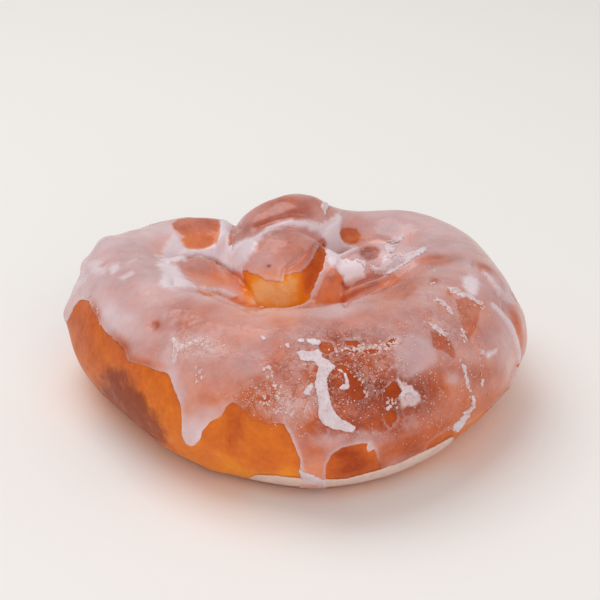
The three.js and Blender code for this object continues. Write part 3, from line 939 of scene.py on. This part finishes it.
# Chips of glaze lie along the cracks and round the bare places: how many, spread, and the photo line
CHIPS = (
    (26, 2.5, ((334, 350), (345, 349), (352, 352), (360, 350))),
    (24, 2.5, ((360, 348), (372, 347), (384, 346))),
    (14, 2, ((384, 350), (392, 345), (399, 338))),
    (16, 1.5, ((346, 366), (352, 372), (360, 379), (365, 388), (366, 396))),
    (8, 1.5, ((384, 392), (392, 402), (398, 408))),
    (10, 1.5, ((397, 380), (402, 386), (408, 388))),
    (26, 2, ((446, 290), (456, 291), (466, 294), (478, 301), (482, 307))),
    (18, 2, ((430, 299), (441, 301), (449, 309), (453, 318))),
    (18, 2, ((426, 322), (436, 327), (444, 334), (450, 342))),
    (12, 1.5, ((460, 330), (464, 338), (467, 344))),
    (20, 1.5, ((461, 362), (466, 378), (471, 394), (474, 406), (466, 414))),
    (14, 1.2, ((481, 346), (482, 360), (481, 380), (484, 396))),
    (14, 2, ((430, 284), (436, 283), (434, 267), (426, 266))),
    (12, 2.5, ((286, 400), (292, 408), (288, 416))),
    (34, 2.5, ((267, 366), (274, 384), (280, 400), (286, 416))),
    (44, 2, ((173, 341), (177, 346), (186, 344), (198, 341), (210, 341))),
    (26, 1.5, ((177, 346), (175, 354), (175, 362))),
    (16, 4, ((196, 350), (212, 348), (218, 344))),
    (14, 2, ((196, 366), (200, 374), (197, 382))),
    (10, 2, ((262, 396), (270, 406), (280, 412))),
    (12, 1.5, ((196, 290), (208, 291), (222, 291))),
    (12, 2, ((398, 240), (392, 250), (400, 256))),
    (10, 2, ((366, 262), (372, 268), (380, 272))),
    (10, 1, ((86, 297), (92, 300), (98, 314), (106, 329))),
)
GRAIN_SIZE, CHIP_SIZE = (0.07, 0.24, 0.1), (0.2, 0.7, 0.25)  # mm: least, greatest and usual radius
GRAIN_RISE = 0.2  # of its radius that a grain's middle stands above the surface
CHIP_HEIGHT, CHIP_RISE = 0.16 * MM, 0.06 * MM
ON_GLAZE = 0.05 * MM  # what is this near to glaze lies on it
ON_CRUST = 0.12  # of the grains that fall on bare crust, the share that sticks
LOWEST_GRAIN = 2 * MM
GRAINS_BEHIND = 600
GRAIN_LIGHT, GRAIN_SHADE = (238, 208, 204), (214, 170, 162)
rng = random.Random(7)


def seen_at(tree, x, y):
    """The place and facing of the surface that the photograph shows at x, y."""
    right, down = (x - PHOTO_WIDTH / 2) / FOCAL_LENGTH, (y - PHOTO_WIDTH / 2) / FOCAL_LENGTH
    ahead = Vector((0, math.cos(EYE_PITCH), -math.sin(EYE_PITCH)))
    under = Vector((0, -math.sin(EYE_PITCH), -math.cos(EYE_PITCH)))
    hit = tree.ray_cast(EYE, ahead + Vector((right, 0, 0)) + down * under)
    return hit[0], hit[1]


def add_grain(grains, place, facing, radius):
    turned = facing.to_track_quat("Z", "Y").to_matrix().to_4x4()
    spin = Matrix.Rotation(rng.uniform(0, math.tau), 4, "Z")
    shape = Matrix.Diagonal((radius * rng.uniform(0.8, 1.5), radius, radius * rng.uniform(0.5, 0.9), 1))
    matrix = Matrix.Translation(place + facing * radius * GRAIN_RISE) @ turned @ spin @ shape
    made = bmesh.ops.create_icosphere(grains, subdivisions=1, radius=1, matrix=matrix)["verts"]
    for corner in made:
        corner.co += Vector([rng.uniform(-0.25, 0.25) * radius for _ in range(3)])


def add_chip(grains, place, facing, radius):
    """A torn chip, thin and flat, that lies a little askew."""
    askew = facing + Vector([rng.uniform(-0.4, 0.4) for _ in range(3)])
    turned = askew.to_track_quat("Z", "Y").to_matrix().to_4x4()
    shape = Matrix.Diagonal((radius * rng.uniform(0.5, 1), radius, CHIP_HEIGHT, 1))
    matrix = Matrix.Translation(place + facing * CHIP_RISE) @ turned @ shape
    made = bmesh.ops.create_cone(
        grains, cap_ends=True, segments=6, radius1=1, radius2=0.85, depth=1, matrix=matrix
    )["verts"]
    for corner in made:
        shift = Vector([rng.uniform(-0.35, 0.35) * radius for _ in range(3)])
        corner.co += shift - facing * shift.dot(facing)


surface = tree_of(dough, glaze, scales)
sticky = tree_of(glaze, scales)
grains = bmesh.new()
for count, x, y, across, down in GRAINS_SEEN:
    for _ in range(count):
        place, facing = seen_at(surface, rng.gauss(x, across / SPREAD), rng.gauss(y, down / SPREAD))
        if place is None or place.z < LOWEST_GRAIN:
            continue
        on_glaze = sticky.find_nearest(place, ON_GLAZE)[0] is not None
        if on_glaze or rng.random() < ON_CRUST:
            add_grain(grains, place, facing, rng.triangular(*GRAIN_SIZE) * MM)
for count, spread, line in CHIPS:
    for _ in range(count):
        leg = rng.randrange(len(line) - 1)
        share = rng.random()
        x, y = [a + share * (b - a) + rng.gauss(0, spread) for a, b in zip(line[leg], line[leg + 1])]
        place, facing = seen_at(surface, x, y)
        if place is not None:
            add_chip(grains, place, facing, rng.triangular(*CHIP_SIZE) * MM)
glaze_points, glaze_normals = points_of(glaze.data), normals_of(glaze.data)
flaky_behind = (field_of(glaze.data, "seen") < 0.4) & (field_of(glaze.data, "flaky") > 0.05)
for index in rng.sample(np.flatnonzero(flaky_behind).tolist(), GRAINS_BEHIND):
    place, facing = Vector(glaze_points[index]), Vector(glaze_normals[index])
    add_grain(grains, place, facing, rng.triangular(*GRAIN_SIZE) * MM)
crumbs = placed("sugar_grains", bpy.data.meshes.new("sugar_grains"))
grains.to_mesh(crumbs.data)
grains.free()
cover_with(crumbs, sugar_material("grain_sugar", GRAIN_LIGHT, GRAIN_SHADE))
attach(crumbs, "root")

# The pretzel stands on a wide plain pale floor in a studio. The floor isn't part of it. One large
# soft lamp hangs over it, behind on the left, and a weaker one in front fills the shade.
FLOOR_RADIUS = 5
FLOOR_SHADE, FLOOR_ROUGHNESS = (0.93, 0.91, 0.89, 1), 0.6
SKY_SHADE, SKY_STRENGTH = (1, 0.98, 0.96, 1), 0.5
LAMPS = (("key", (-0.3, 0.25, 0.95), 4.6), ("fill", (0.3, -0.9, 0.5), 3))  # name, place, watts
LAMP_SIZE = 0.8

floor = placed("floor", bpy.data.meshes.new("floor"))
ground = bmesh.new()
bmesh.ops.create_circle(ground, cap_ends=True, segments=64, radius=FLOOR_RADIUS)
ground.to_mesh(floor.data)
ground.free()
pale_floor, tree, shader = new_material("pale_floor")
shader.inputs["Base Color"].default_value = FLOOR_SHADE
shader.inputs["Roughness"].default_value = FLOOR_ROUGHNESS
cover_with(floor, pale_floor)

world = bpy.data.worlds.new("studio")
world.use_nodes = True
world.node_tree.nodes["Background"].inputs["Color"].default_value = SKY_SHADE
world.node_tree.nodes["Background"].inputs["Strength"].default_value = SKY_STRENGTH
bpy.context.scene.world = world
bpy.context.scene.view_settings.view_transform = "Standard"
for name, place, power in LAMPS:
    lamp = placed(name, bpy.data.lights.new(name, "AREA"))
    lamp.data.size = LAMP_SIZE
    lamp.data.energy = power
    lamp.location = place
    lamp.rotation_euler = (-Vector(place)).to_track_quat("-Z", "Y").to_euler()
